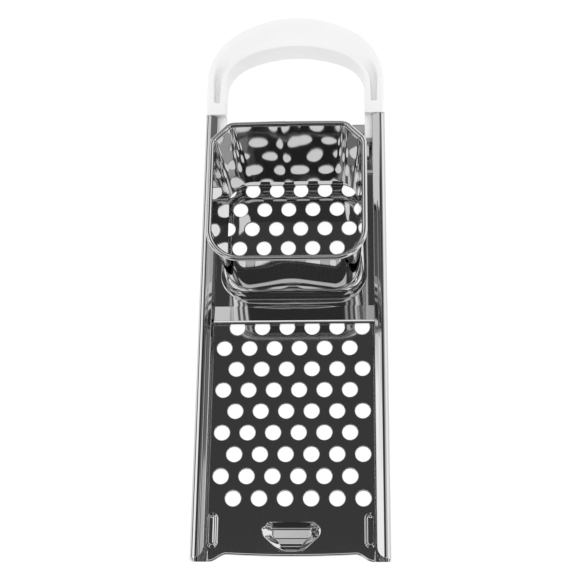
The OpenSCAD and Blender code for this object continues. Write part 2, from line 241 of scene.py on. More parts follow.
class Shell:
    """Collects grids of points and flat sheets, and turns them into one mesh object."""

    def __init__(self) -> None:
        """Starts empty."""
        self.points: list[Array] = []
        self.faces: list[tuple[int, ...]] = []
        self.total = 0

    def add(self, points: Array, faces: Array) -> None:
        """Adds points (n, 3) and faces that index them.

        Args:
            points: Points as (n, 3).
            faces: Numbers of each face's points, as (m, corners).
        """
        self.points.append(np.asarray(points, float).reshape(-1, 3))
        self.faces.extend(map(tuple, (np.asarray(faces) + self.total).tolist()))
        self.total += len(self.points[-1])

    def grid(self, rows: Sequence[Array], wrap_rows: bool = False, wrap_columns: bool = False) -> None:
        """Adds rows of points as four-sided faces.

        Args:
            rows: Points as (rows, columns, 3).
            wrap_rows: Whether the last row joins the first.
            wrap_columns: Whether the last column joins the first.
        """
        points = np.stack(list(rows))
        m, n = points.shape[:2]
        i = np.arange(m if wrap_rows else m - 1)[:, None]
        j = np.arange(n if wrap_columns else n - 1)[None, :]
        i2, j2 = (i + 1) % m, (j + 1) % n
        quads = np.stack([i * n + j, i * n + j2, i2 * n + j2, i2 * n + j], 2)
        self.add(points, quads.reshape(-1, 4))

    def tube(self, rings: Sequence[Array], caps: bool = False) -> None:
        """Adds a tube through closed rings (n, 3), with closed ends if it has caps.

        Args:
            rings: Closed rings as (rows, n, 3).
            caps: Whether both ends are closed.
        """
        self.grid(rings, wrap_columns=True)
        if caps:
            self.fan(rings[0])
            self.fan(rings[-1])

    def fan(self, ring: Array) -> None:
        """Closes a ring of points (n, 3) with triangles to its middle.

        Args:
            ring: Closed ring as (n, 3).
        """
        n = len(ring)
        i = np.arange(n)
        self.add(np.vstack([ring, ring.mean(axis=0)]), np.stack([i, (i + 1) % n, np.full(n, n)], 1))

    def flat(self, outline: Array, holes: Sequence[Array], z: float) -> None:
        """Adds a flat sheet at height z inside outline and outside every hole.

        The sheet is a constrained Delaunay triangulation, of which the triangles whose
        middle lies inside a hole or outside the outline are left out.

        Args:
            outline: Closed loop as (n, 2).
            holes: Closed loops as (n, 2).
            z: Height of the sheet.
        """
        loops = [outline, *holes]
        edges: list[tuple[int, int]] = []
        start = 0
        for loop in loops:
            i = np.arange(len(loop))
            edges.extend(map(tuple, np.stack([start + i, start + (i + 1) % len(loop)], 1).tolist()))
            start += len(loop)
        corners = [Vector(p) for p in np.vstack(loops).tolist()]
        points, _, faces, *_ = delaunay_2d_cdt(corners, edges, [], 1, 1e-7)
        plan = np.array([(p.x, p.y) for p in points])
        triangles = np.array([f for f in faces if len(f) == 3])
        middle = plan[triangles].mean(axis=1)
        keep = inside(middle, outline)
        for hole in holes:
            close = keep & np.all(np.abs(middle - hole.mean(axis=0)) < np.ptp(hole, axis=0), axis=1)
            keep[close] = ~inside(middle[close], hole)
        self.add(lift(plan, z), triangles[keep])

    def make(self, name: str, sharp: float = 38.0) -> bpy.types.Object:
        """Makes the mesh object, closed and facing outwards.

        Args:
            name: Name of the piece.
            sharp: Edges that turn by more than this many degrees stay crisp.

        Returns:
            The new object, linked to the scene.
        """
        mesh = bpy.data.meshes.new(name)
        mesh.from_pydata((np.vstack(self.points) * MM).tolist(), [], self.faces)
        work = bmesh.new()
        work.from_mesh(mesh)
        bmesh.ops.remove_doubles(work, verts=work.verts, dist=2e-7)
        bmesh.ops.dissolve_degenerate(work, edges=work.edges, dist=1e-7)
        bmesh.ops.recalc_face_normals(work, faces=work.faces)
        work.to_mesh(mesh)
        open_edges = sum(1 for e in work.edges if len(e.link_faces) != 2)
        work.free()
        mesh.shade_smooth()
        mesh.set_sharp_from_angle(angle=math.radians(sharp))
        piece = bpy.data.objects.new(name, mesh)
        bpy.context.scene.collection.objects.link(piece)
        log.info("%s: %d faces, %d open edges", name, len(mesh.polygons), open_edges)
        return piece


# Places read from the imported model

def span(node: str) -> Array:
    """Lowest and highest corner of a CAD node in millimetres, as (2, 3)."""
    return np.array([list(c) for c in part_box(node)]) / MM


@dataclass(frozen=True)
class Datum:
    """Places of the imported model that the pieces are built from, in millimetres."""

    half_w: float
    field_half: float
    free_end: float
    rail_end: float
    plate_end: float
    plate_top: float
    sheet: float
    bow_top: float
    bow_t: float
    tenon_end: float

    @classmethod
    def read(cls) -> "Datum":
        """Reads the places from the boxes of the CAD nodes.

        Returns:
            The places.
        """
        rail, plate, bow = span("right_rail"), span("perforated_plate"), span("bow_handle")
        return cls(
            half_w=rail[1, 0], field_half=plate[1, 0], free_end=rail[0, 1], rail_end=rail[1, 1],
            plate_end=plate[1, 1], plate_top=plate[1, 2], sheet=plate[1, 2] - rail[0, 2],
            bow_top=bow[1, 1], bow_t=bow[1, 2], tenon_end=bow[0, 1],
        )


# Shader expressions

Input = Union["Number", bpy.types.Node, bpy.types.NodeSocket, float, int, tuple, list]


class Nodes:
    """A node tree that nodes are added to by name, settings and inputs."""

    def __init__(self, tree: bpy.types.NodeTree) -> None:
        """Empties the material's or the world's tree."""
        self.tree = tree
        tree.nodes.clear()

    @classmethod
    def material(cls, name: str) -> tuple[bpy.types.Material, "Nodes"]:
        """Makes a material with an empty tree.

        Args:
            name: Name of the material.

        Returns:
            The material and its empty tree.
        """
        material = bpy.data.materials.new(name)
        material.use_nodes = True
        return material, cls(material.node_tree)

    def add(self, kind: str, settings: Optional[dict] = None, **inputs: Input) -> bpy.types.Node:
        """Adds a node, sets its settings first and then its sockets.

        Args:
            kind: Type of the node, without the leading ShaderNode.
            settings: Attributes of the node; stops holds a ramp's (place, colour) pairs.
            **inputs: Value or link of each socket, by its name with _ for a space, or by
                its number as n0, n1.

        Returns:
            The new node.
        """
        node = self.tree.nodes.new("ShaderNode" + kind)
        for key, value in (settings or {}).items():
            if key != "stops":
                setattr(node, key, value)
                continue
            for element, (place, colour) in zip(node.color_ramp.elements, value):
                element.position, element.color = place, colour
        for key, value in inputs.items():
            number = key[1:] if key[0] == "n" and key[1:].isdigit() else None
            self.feed(node.inputs[int(number)] if number else node.inputs[key.replace("_", " ")], value)
        return node

    def feed(self, socket: bpy.types.NodeSocket, value: Input) -> None:
        """Sets or links one input socket. A node stands for its first output.

        Args:
            socket: The input socket.
            value: A value, or what the link comes from.
        """
        if isinstance(value, Number):
            value = value.socket
        elif isinstance(value, bpy.types.Node):
            value = value.outputs[0]
        if isinstance(value, bpy.types.NodeSocket):
            self.tree.links.new(value, socket)
        else:
            socket.default_value = value

    def noise(self, place: Input, scale: float, detail: float) -> "Number":
        """Adds a noise texture."""
        return self.number(self.add("TexNoise", Vector=place, Scale=scale, Detail=detail).outputs[0])

    def number(self, socket: bpy.types.NodeSocket) -> "Number":
        """Wraps an output socket for arithmetic."""
        return Number(self, socket)


def arithmetic(operation: str, reflected: bool = False) -> Callable[["Number", Input], "Number"]:
    """Makes one of Number's operators.

    Args:
        operation: The Math node's operation.
        reflected: Whether the number comes second, after a plain one.

    Returns:
        The method.
    """
    def method(self: "Number", other: Input) -> "Number":
        """Adds the Math node.

        Args:
            other: The other input.

        Returns:
            The result.
        """
        first, second = (other, self) if reflected else (self, other)
        node = self.nodes.add("Math", {"operation": operation}, n0=first, n1=second)
        return Number(self.nodes, node.outputs[0])

    return method


class Number:
    """A number socket that Python's arithmetic works on."""

    __add__, __radd__ = arithmetic("ADD"), arithmetic("ADD", True)
    __sub__, __rsub__ = arithmetic("SUBTRACT"), arithmetic("SUBTRACT", True)
    __mul__, __rmul__ = arithmetic("MULTIPLY"), arithmetic("MULTIPLY", True)
    __truediv__ = arithmetic("DIVIDE")
    most = arithmetic("MAXIMUM")

    def __init__(self, nodes: Nodes, socket: bpy.types.NodeSocket) -> None:
        """Wraps an output socket.

        Args:
            nodes: The tree that the socket is in.
            socket: The socket.
        """
        self.nodes = nodes
        self.socket = socket

    def __abs__(self) -> "Number":
        """Distance from 0."""
        node = self.nodes.add("Math", {"operation": "ABSOLUTE"}, n0=self)
        return Number(self.nodes, node.outputs[0])

    def step(self, low: float, high: float) -> "Number":
        """Smooth step from 0 at low to 1 at high.

        Args:
            low: Where it is 0.
            high: Where it is 1.

        Returns:
            The step.
        """
        settings = {"interpolation_type": "SMOOTHSTEP"}
        node = self.nodes.add("MapRange", settings, Value=self, From_Min=low, From_Max=high)
        return Number(self.nodes, node.outputs[0])

    def band(self, low: float, full: float, full_to: float, high: float) -> "Number":
        """Rises smoothly from 0 at low to 1 at full, and falls from full_to to 0 at high."""
        return self.step(low, full) * self.step(high, full_to)

    def towards(self, level: Input, share: Input) -> "Number":
        """This number brought to level by share."""
        return self + share * (level - self)


@dataclass(frozen=True)
class PolishedSteel:
    """Mirror-polished stainless sheet: long soft waves and fine polishing marks.

    Attributes:
        name: Name of the material.
        reflectance: Grey of the metal.
        wave_height: Height of the sheet's waves, in metres.
        wave_scale: Scale of the waves' noise.
        grain_scale: Scale of the polishing marks' noise.
        smudge_scale: Scale of the smudges' noise.
        seed: Place in the noise.
        roughness: Least roughness, and what marks and smudges each add to it at most.
        worn: Grey where the smudges are deepest, as a share of the metal's.
    """

    name: str
    reflectance: float = 0.58
    wave_height: float = 0.00006
    wave_scale: float = 34.0
    grain_scale: float = 2600.0
    smudge_scale: float = 22.0
    seed: float = 0.0
    roughness: tuple[float, float, float] = (0.035, 0.02, 0.02)
    worn: float = 0.985

    def build(self) -> bpy.types.Material:
        """Makes the material.

        Returns:
            The material.
        """
        material, nodes = Nodes.material(self.name)
        place = nodes.add("TexCoord").outputs["Object"]
        moved = nodes.add("Mapping", Vector=place, Location=(self.seed, self.seed, 0.0))
        wave = nodes.noise(moved, self.wave_scale, 1.0)
        along = nodes.add("Mapping", Vector=place, Scale=(1.0, 0.06, 1.0))
        grain = nodes.noise(along, self.grain_scale, 3.0)
        smudge = nodes.noise(moved, self.smudge_scale, 3.0)
        tones = {"stops": [(0.3, self.grey(self.worn)), (0.7, self.grey(1.0))]}
        least, marks, smudges = self.roughness
        shader = nodes.add(
            "BsdfPrincipled", Metallic=1.0,
            Base_Color=nodes.add("ValToRGB", tones, Fac=smudge),
            Roughness=least + grain * marks + smudge.step(0.5, 0.75) * smudges,
            Normal=nodes.add("Bump", Height=wave, Distance=self.wave_height, Strength=1.0),
        )
        nodes.add("OutputMaterial", Surface=shader)
        return material

    def grey(self, share: float) -> tuple[float, float, float, float]:
        """The metal's grey times share, as a colour that is a touch blue."""
        value = self.reflectance * share
        return (value, value, value * 1.005, 1.0)


@dataclass(frozen=True)
class GlossPlastic:
    """Smooth white moulded plastic with a faint orange peel.

    Attributes:
        name: Name of the material.
        colour: Its colour.
        peel_scale: Scale of the orange peel's noise.
        peel_height: Height of the orange peel, in metres.
        cloud_scale: Scale of the noise that tone and gloss vary with.
        roughness: Least roughness, and what the clouds add to it at most.
        worn: Grey where the clouds are deepest, as a share of the colour.
    """

    name: str
    colour: tuple[float, float, float] = (0.93, 0.93, 0.93)
    peel_scale: float = 700.0
    peel_height: float = 0.00001
    cloud_scale: float = 35.0
    roughness: tuple[float, float] = (0.26, 0.06)
    worn: float = 0.985

    def build(self) -> bpy.types.Material:
        """Makes the material.

        Returns:
            The material.
        """
        material, nodes = Nodes.material(self.name)
        place = nodes.add("TexCoord").outputs["Object"]
        peel = nodes.noise(place, self.peel_scale, 2.0)
        cloud = nodes.noise(place, self.cloud_scale, 2.0)
        dull = tuple(c * self.worn for c in self.colour)
        tones = {"stops": [(0.35, (*dull, 1.0)), (0.65, (*self.colour, 1.0))]}
        shader = nodes.add(
            "BsdfPrincipled",
            Base_Color=nodes.add("ValToRGB", tones, Fac=cloud),
            Roughness=self.roughness[0] + cloud * self.roughness[1],
            Normal=nodes.add("Bump", Height=peel, Distance=self.peel_height, Strength=0.6),
        )
        nodes.add("OutputMaterial", Surface=shader)
        return material


def dress(
    piece: bpy.types.Object, material: bpy.types.Material, body: Body, nodes: Sequence[str],
) -> None:
    """Gives a piece its finish and its body, and hides the CAD nodes that it stands for.

    Args:
        piece: The piece.
        material: Its finish.
        body: The body that it rides on.
        nodes: The CAD nodes that it replaces.
    """
    piece.data.materials.append(material)
    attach(piece, body.value)
    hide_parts(*nodes)
    log.info("%s rides on %s", piece.name, body.value)


# The base: one sheet with its rails, hook and stops

@dataclass
class BaseSheet:
    """The folded base sheet: perforated plate, two rails, pot hook and four stops."""

    at: Datum
    steel: bpy.types.Material
    hole_r: float = 4.0
    hole_pitch: float = 13.5
    holes_per_row: int = 6
    hole_rows: int = 16
    first_row: float = 32.5
    hole_round: float = 0.35
    hole_border: float = 0.3
    edge_setback: float = 3.7
    edge_sag: float = 0.9
    edge_in: float = 17.8
    edge_curve_w: float = 8.5
    edge_round: float = 0.8
    edge_lip: float = 1.8
    edge_under: float = 0.6
    edge_step: float = 6.0
    support: float = 0.2
    track_drop: float = 0.16
    crease: float = 0.09
    rail_h: float = 9.5
    flange_w: float = 6.2
    flange_slope: float = 14.0
    top_r: float = 3.0
    groove: float = 0.022
    groove_w: float = 1.1
    groove_in: float = 0.5
    foot_r: float = 1.8
    corner_r: float = 5.0
    back_corner_r: float = 2.0
    flange_short: float = 0.5
    bend_part: float = 0.35
    tip_points: int = 5
    hook_front_half: float = 6.5
    hook_back_half: float = 12.0
    hook_wide_at: float = 5.0
    hook_wall: float = 3.3
    hook_soft: float = 0.5
    stop_w: float = 6.0
    stop_slope: float = 1.7
    stop_valley: float = 0.1

    def outline(self) -> Array:
        """Outline of the plate, counter-clockwise from the free end's left corner.

        The free edge steps back between the rails along two smooth-step curves, and
        bows out again by a parabola between them.

        Returns:
            Closed loop as (n, 2).
        """
        a = self.at
        half = a.half_w - self.edge_in
        t = np.linspace(0.0, 1.0, 17)
        step = np.stack([half + self.edge_curve_w * (1.0 - t), a.free_end + self.edge_setback * smooth(t)], 1)
        share = np.linspace(1.0, 0.0, 9)[1:]
        bow = np.stack([half * share, a.free_end + self.edge_setback - self.edge_sag * (1.0 - share ** 2)], 1)
        curve = np.vstack([step, bow])
        ends = [[a.field_half, a.free_end], [a.field_half, a.plate_end], [-a.field_half, a.plate_end]]
        return np.vstack([[[-a.field_half, a.free_end]], (curve * [-1.0, 1.0])[:-1], curve[::-1], ends])

    def hole_centres(self) -> Array:
        """Centres of the holes: rows a pitch times sin 60 apart, staggered by half a pitch.

        Returns:
            Centres as (rows * holes per row, 2).
        """
        row, i = np.mgrid[0:self.hole_rows, 0:self.holes_per_row].astype(float)
        stagger = np.where(row % 2 == 0, 0.25, -0.25)
        x = (i - (self.holes_per_row - 1) / 2.0 + stagger) * self.hole_pitch
        y = self.at.free_end + self.first_row + row * self.hole_pitch * math.sin(math.radians(60.0))
        return np.stack([x.ravel(), y.ravel()], 1)

    def hook_outline(self) -> Array:
        """Outline of the pot hook at the plate's top, from the CAD node's box.

        Returns:
            Closed loop as (n, 2).
        """
        low, high = span("pot_hook")
        half, back, front = high[0], high[1], low[1]
        right = np.array([[self.hook_front_half, front], [half, back - self.hook_wide_at],
                          [self.hook_back_half, back]])
        corners = np.vstack([right[:1] * [-1.0, 1.0], right, (right * [-1.0, 1.0])[:0:-1]])
        front_r, side_r, back_r = 3.0, 4.0, 2.5
        return rounded_polygon(corners, [front_r, front_r, side_r, back_r, back_r, side_r], 8)

    def plate(self) -> bpy.types.Object:
        """Perforated plate: two flat sheets, joined round every hole and along the outline.

        Each hole's edge is a quarter circle. Along the free edge the sheet turns down by a
        quarter circle into a lip, and along the rails it drops to the track.

        Returns:
            The piece.
        """
        a = self.at
        loop = self.outline()
        following = np.roll(loop, -1, axis=0)
        parts = np.maximum(np.linalg.norm(following - loop, axis=1) / self.edge_step, 1.0).astype(int)
        loop = np.vstack([np.linspace(p, q, n, endpoint=False) for p, q, n in zip(loop, following, parts)])
        out = mitre(loop)
        inset = loop - out * self.edge_round
        corner = np.abs(loop[:, 0]) > a.field_half - NEAR
        front = np.abs(loop[:, 1] - a.free_end) < self.edge_setback + NEAR
        side = corner & (loop[:, 1] < a.plate_end - NEAR)
        along = (a.half_w - self.edge_in + self.edge_curve_w - np.abs(loop[:, 0])) / self.edge_curve_w
        lip = np.where(front & ~corner, a.sheet + (self.edge_lip - a.sheet) * smooth(along), a.sheet)
        low = np.where(side, a.sheet + self.track_drop, np.maximum(lip, self.edge_round + 0.05))
        # Rings of the rim by their distance e outwards and height z: over the edge and under it.
        sine, fall = quarter(7)
        share = np.linspace(0.0, 1.0, 7)
        drop = self.crease * np.sin(math.pi * share) ** 2 - self.track_drop * smooth(share)
        turned = -self.edge_round * fall * np.where(front, 1.0, 0.5)[:, None]
        level = np.zeros(len(loop))
        e = self.edge_round * np.where(side[:, None], share, sine)
        under = self.edge_round - np.where(front & ~corner, self.edge_under, 0.0)
        e = np.column_stack([level - self.support, e, e[:, -1], under, level])
        z = np.column_stack([level, np.where(side[:, None], drop, turned), -low, -low, level - a.sheet])
        shell = Shell()
        shell.grid(lift(inset[:, None] + out[:, None] * e[:, :, None], a.plate_top + z), wrap_rows=True)
        hook = self.hook_outline()
        wide = self.hole_r + self.hole_round + self.hole_border
        circle = arc((0.0, 0.0), 1.0, 0.0, 360.0, 41)[:-1]
        centres = self.hole_centres()
        for edge, radius, depth in ((inset - out * self.support, wide, 0.0), (inset, self.hole_r, a.sheet)):
            shell.flat(edge, [*(c + circle * radius for c in centres), hook], a.plate_top - depth)
        radii = [wide, *(self.hole_r + self.hole_round * (1.0 - sine)), self.hole_r]
        depths = [0.0, *(self.hole_round * fall), a.sheet]
        for c in centres:
            shell.tube([lift(c + circle * r, a.plate_top - d) for r, d in zip(radii, depths)])
        shell.tube([lift(hook, a.plate_top - d) for d in (0.0, a.sheet)])
        return shell.make("perforated_sheet")

    def rail_path(self) -> tuple[Array, Array]:
        """Outer face of the right rail's section, from the flange's tip to the track.

        Returns:
            Points (x, z) as (n, 2), and for each the share of the way from the flange's
            side of the top bend to the wall: 0 on the flange and 1 from the wall on.
        """
        a = self.at
        low = a.plate_top - a.sheet
        top = np.array([a.half_w - self.top_r, a.plate_top + self.rail_h - self.top_r])
        foot = np.array([a.half_w - self.foot_r, low + self.foot_r])
        slope = math.radians(self.flange_slope)
        start = top + self.top_r * np.array([-math.sin(slope), math.cos(slope)])
        reach = (self.flange_w - self.top_r) * np.cos(np.linspace(0.0, math.pi / 2.0, 10))
        fine = np.linspace(self.groove_in - 0.1, self.groove_in + self.groove_w + 0.1, 18)
        reach = np.unique(np.concatenate([reach, fine]))[::-1]
        flange = start - reach[:, None] * [math.cos(slope), math.sin(slope)]
        wave = np.clip((reach - self.groove_in) / self.groove_w, 0.0, 1.0)
        flange[:, 1] += self.groove * np.sin(2.0 * math.pi * wave) * np.sin(math.pi * wave)
        bend = arc(top, self.top_r, 90.0 + self.flange_slope, 0.0, 15)[1:]
        wall = np.linspace(bend[-1], [a.half_w, foot[1]], 8)[1:]
        lower = arc(foot, self.foot_r, 0.0, -90.0, 9)[1:]
        t = steps(7)
        track = np.stack([foot[0] + (a.field_half - foot[0]) * t, low - self.track_drop * smooth(t * 3.0)], 1)
        path = np.vstack([flange, bend, wall, lower, track])
        last = len(flange) - 1
        return path, np.interp(np.arange(len(path)), [last, last + len(bend)], [0.0, 1.0])

    def rail(self, side: float) -> bpy.types.Object:
        """One rail: its section carried along Y between two lines that round the flange.

        At the free end the flange's corner is a quarter circle, and the sheet runs on to
        the end only at the wall. At the handle end the corner is a smaller one.

        Args:
            side: 1 for the right rail and -1 for the left one.

        Returns:
            The piece.
        """
        a = self.at
        path, share = self.rail_path()
        n, m = len(path), self.tip_points
        section = sheet_section(path, a.sheet, m)
        order = np.concatenate([np.arange(n), np.full(m, n - 1), np.arange(n)[::-1], np.zeros(m, int)])
        reach = path[:, 0] - path[0, 0]
        on_top = path[:, 1] > a.plate_top + self.rail_h - self.top_r - NEAR
        short = self.flange_short * (1.0 - ease(share, self.bend_part, 1.0 - self.bend_part))
        y0 = a.free_end + np.where(on_top, round_off(self.corner_r, reach) + short, 0.0)[order]
        y1 = a.rail_end - np.where(on_top, round_off(self.back_corner_r, reach), 0.0)[order]
        rows = np.concatenate([[0.0, 0.001, 0.004], np.linspace(0.01, 0.99, 60), [0.996, 0.999, 1.0]])
        y = y0 + (y1 - y0) * rows[:, None]
        body = np.stack(np.broadcast_arrays(side * section[:, 0], y, section[:, 1]), 2)
        shell = Shell()
        shell.tube(body)
        for end in (body[0], body[-1]):
            face, other = end[:n], end[n + m:2 * n + m][::-1]
            shell.grid([face, other])
            shell.fan(np.vstack([face[-1:], end[n:n + m], other[-1:]]))
            shell.fan(np.vstack([other[:1], end[2 * n + m:], face[:1]]))
        return shell.make("right_rail_sheet" if side > 0 else "left_rail_sheet")

    def hook(self) -> bpy.types.Object:
        """Pot hook: a scoop with a steep back wall and a floor that rises to the front.

        Rows run across at even y, each as wide as the outline there. The depth is the
        scoop's depth at that y, times the rise from the side edge. Both are made of
        straight parts whose corners are rounded by a moving mean.

        Returns:
            The piece.
        """
        a = self.at
        outline = self.hook_outline()
        low, high = span("pot_hook")
        right = outline[outline[:, 0] > 0.0]
        right = right[np.argsort(right[:, 1])]
        length = high[1] - low[1]
        # Places on the scoop's profile, from its back, and the share of the full depth there.
        from_back = [0.0, 0.35, 0.8, 1.6, 2.2, 2.7, 3.3, 8.0, *(length - np.array([4.0, 3.2, 0.4, 0.0]))]
        depth = np.array([0.0, 0.12, 0.5, 0.88, 0.985, 1.0, 0.985, 0.78, 0.40, 0.365, 0.0, 0.0])
        depth *= a.plate_top - a.sheet - low[2]
        wall = self.hook_wall
        fine = np.concatenate([np.linspace(0.0, wall, 24)[:-1], np.linspace(wall, length, 44)])
        window = np.linspace(-self.hook_soft, self.hook_soft, 61)
        scoop = np.mean([np.interp(fine + k, from_back, depth) for k in window], axis=0)
        scoop -= np.interp(fine, [0.0, length], [scoop[0], scoop[-1]])
        y = high[1] - fine
        half = np.interp(y, right[:, 1], right[:, 0])[:, None]
        # Width of the side slope, by the distance from the back.
        inner = np.interp(fine, [0.0, 2.0, 4.0, length], [1.5, 4.2, 6.0, 4.4])[:, None]
        side = np.linspace(0.0, 1.15, 24)
        x = np.concatenate([
            -half + side * inner,
            (half - side[-1] * inner) * np.linspace(-1.0, 1.0, 9)[1:-1],
            half - side[::-1] * inner,
        ], axis=1)
        reach = (half - np.abs(x)) / inner
        edge = np.mean([
            np.interp(reach, [0.1 + k, 0.9 + k], [0.0, 1.0]) for k in np.linspace(-0.09, 0.09, 31)
        ], axis=0)
        top = np.stack(np.broadcast_arrays(x, y[:, None], a.plate_top - scoop[:, None] * edge), axis=2)
        under = top - [0.0, 0.0, a.sheet]
        shell = Shell()
        shell.tube(np.concatenate([top, under[:, ::-1]], axis=1))
        for row in (0, -1):
            shell.grid([top[row], under[row]])
        return shell.make("pressed_hook")

    def stops(self) -> bpy.types.Object:
        """Four pressed stops: long ovals whose rings shrink towards a middle line.

        A ring at distance d from the outline stands at the stop's height times a smooth
        step of d over the slope's width, less a shallow valley along the middle.

        Returns:
            The piece.
        """
        low, high = span("end_stops")
        half = self.stop_w / 2.0
        length = self.stop_length(low, high)
        run = length / 2.0 - half
        inward = np.concatenate([
            np.linspace(0.0, self.stop_slope, 9), np.linspace(self.stop_slope, half, 5)[1:],
        ])
        valley = ease(inward, self.stop_slope, half - self.stop_slope)
        rise = smooth(inward / self.stop_slope) - self.stop_valley * valley
        z = (low[2] + (high[2] - low[2]) * rise)[:, None]
        cap = arc((0.0, 0.0), 1.0, 0.0, 180.0, 17)
        direction = np.vstack([cap, -cap])
        middle = np.repeat([[0.0, run], [0.0, -run]], len(cap), axis=0)
        shell = Shell()
        for x in (half - high[0], high[0] - half):
            for y in (low[1] + length / 2.0, high[1] - length / 2.0):
                ring = middle + direction * (half - inward)[:, None, None] + [x, y]
                top = lift(ring, z)
                shell.tube(top)
                shell.fan(top[0])
        return shell.make("pressed_stops")

    @staticmethod
    def stop_length(low: Array, high: Array) -> float:
        """Length of one stop, from the points of the CAD node's lower group."""
        points = np.array([v.co[1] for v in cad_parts["end_stops"].data.vertices]) / MM
        return float(points[points < (low[1] + high[1]) / 2.0].max() - low[1])

    def build(self) -> None:
        """Builds and dresses the base sheet's pieces."""
        for piece, node in (
            (self.plate(), "perforated_plate"),
            (self.rail(-1.0), "left_rail"),
            (self.rail(1.0), "right_rail"),
            (self.hook(), "pot_hook"),
            (self.stops(), "end_stops"),
        ):
            dress(piece, self.steel, Body.BASE, [node])


# The bow handle

@dataclass
class BowHandle:
    """White moulded bow whose two legs plug into the rails."""

    at: Datum
    plastic: bpy.types.Material
    leg_w: float = 11.4
    top_w: float = 20.0
    arch_r: float = 61.5
    shoulder_r: float = 36.5
    inner_arch_r: float = 67.0
    inner_shoulder_r: float = 20.5
    rim_w: float = 4.3
    ridge_w: float = 3.7
    crown_ridge_w: float = 1.0
    slope_w: float = 0.7
    crown_slope_w: float = 9.7
    recess_d: float = 1.5
    groove_d: float = 4.6
    groove_from: float = 8.5
    groove_end_w: float = 3.0
    crown_from: float = 25.0
    crown_over: float = 26.0
    leg_rise: float = 36.0
    edge_r: float = 1.8
    inner_r: float = 0.8
    foot_r: float = 0.9
    tenon_h: float = 6.4
    tenon_gap: float = 0.95
    tenon_r: float = 0.8
    tenon_over: float = 0.4
    sections: int = 90

    def arch(self, crown: float, big: float, small: float, half: float) -> Array:
        """Half an arch from its foot at the rails up to the crown.

        The leg is upright up to the shoulder's middle. The shoulder arc touches the leg
        and the crown's arc, whose centre lies on the middle line: the distance between
        the two centres is the difference of the radii.

        Args:
            crown: The crown's Y.
            big: Radius of the crown's arc.
            small: Radius of the shoulder.
            half: X of the leg.

        Returns:
            Points as (sections, 2).
        """
        y = crown - big + math.sqrt((big - small) ** 2 - (half - small) ** 2)
        turn = math.degrees(math.atan2(y - (crown - big), half - small))
        leg = np.linspace([half, self.at.rail_end], [half, y], 40)
        shoulder = arc((half - small, y), small, 0.0, turn, 80)[1:]
        top = arc((0.0, crown - big), big, turn, 90.0, 80)[1:]
        return resample(np.vstack([leg, shoulder, top]), self.sections)

    def underside(self, y: Array) -> Array:
        """Height of the underside: a cosine wave from the plate's height at the rails to 0."""
        t = np.clip((y - self.at.rail_end) / self.leg_rise, 0.0, 1.0)
        return self.at.plate_top * (1.0 + np.cos(math.pi * t)) / 2.0

    def bow(self, shell: Shell) -> None:
        """The bow itself, as closed sections from the outer edge over the top to the inner
        edge and back below, carried along the arch.

        The top's height falls by a quarter circle at each edge and by the recess, whose
        depth is a product of two smooth steps across the bow.

        Args:
            shell: The handle's shell.
        """
        a = self.at
        outer = self.arch(a.bow_top, self.arch_r, self.shoulder_r, a.half_w)
        inner = self.arch(
            a.bow_top - self.top_w, self.inner_arch_r, self.inner_shoulder_r, a.half_w - self.leg_w,
        )
        width = np.linalg.norm(outer - inner, axis=1)
        up = outer[:, 1] - a.rail_end
        crown = ease(up, self.crown_from, self.crown_over)
        depth = self.groove_d + (self.recess_d - self.groove_d) * crown
        depth = depth * ease(up, self.groove_from, self.groove_end_w)
        ridge = self.ridge_w + (self.crown_ridge_w - self.ridge_w) * crown
        slope_out = self.slope_w + (self.crown_slope_w - self.slope_w) * crown
        # Lines along the bow at which the forms of its top meet, from the outer edge.
        breaks = np.broadcast_arrays(
            0.0, self.edge_r, self.rim_w, self.rim_w + slope_out,
            width - ridge - self.slope_w, width - ridge, width - self.inner_r, width,
        )
        _, bend = quarter(8)
        parts = [bend, steps(2), steps(8), steps(4), steps(7), steps(2), 1.0 - bend[::-1][1:]]
        across = np.concatenate([
            start[:, None] + (end - start)[:, None] * part
            for start, end, part in zip(breaks[:-1], breaks[1:], parts)
        ], axis=1)
        fall = round_off(self.edge_r, across) + round_off(self.inner_r, width[:, None] - across)
        hollow = smooth((across - self.rim_w) / slope_out[:, None])
        hollow = hollow * smooth(((width - ridge)[:, None] - across) / self.slope_w)
        top = a.bow_t - fall - depth[:, None] * hollow
        upper = lift(blend(outer, inner, across / width[:, None]), top)
        sine, rise = quarter(5)
        sides = []
        for point, beyond, limit in ((outer, inner, top[:, :1]), (inner, outer, top[:, -1:])):
            inwards = (beyond - point) / width[:, None]
            inset = np.concatenate([self.foot_r * (1.0 - sine), np.zeros(3)])
            plan = point[:, None] + inwards[:, None] * inset[:, None]
            z = self.underside(plan[:, :len(rise), 1]) + self.foot_r * rise
            climb = z[:, -1:] + (limit - z[:, -1:]) * [0.25, 0.6, 0.9]
            sides.append(lift(plan, np.hstack([z, climb])))
        bottom = blend(sides[1][:, 0], sides[0][:, 0], steps(8)[:-1])
        bottom[:, :, 2] = self.underside(bottom[:, :, 1])
        loop = np.concatenate([sides[0], upper, sides[1][:, ::-1], bottom], axis=1)
        shell.tube(np.concatenate([loop, (loop[::-1] * [-1.0, 1.0, 1.0])[1:]]), caps=True)

    def tenon(self, shell: Shell, side: float) -> None:
        """The part of a leg that lies in the rail: a block with rounded edges.

        Args:
            shell: The handle's shell.
            side: 1 for the right leg and -1 for the left one.
        """
        a = self.at
        low_x, high_x = a.half_w - self.leg_w, a.half_w - self.tenon_gap
        low_z, high_z = a.plate_top, a.plate_top + self.tenon_h
        corners = np.array([[low_x, low_z], [high_x, low_z], [high_x, high_z], [low_x, high_z]])
        loop = rounded_polygon(corners, self.tenon_r, 5)
        length = a.rail_end - a.tenon_end + self.tenon_over
        rings = []
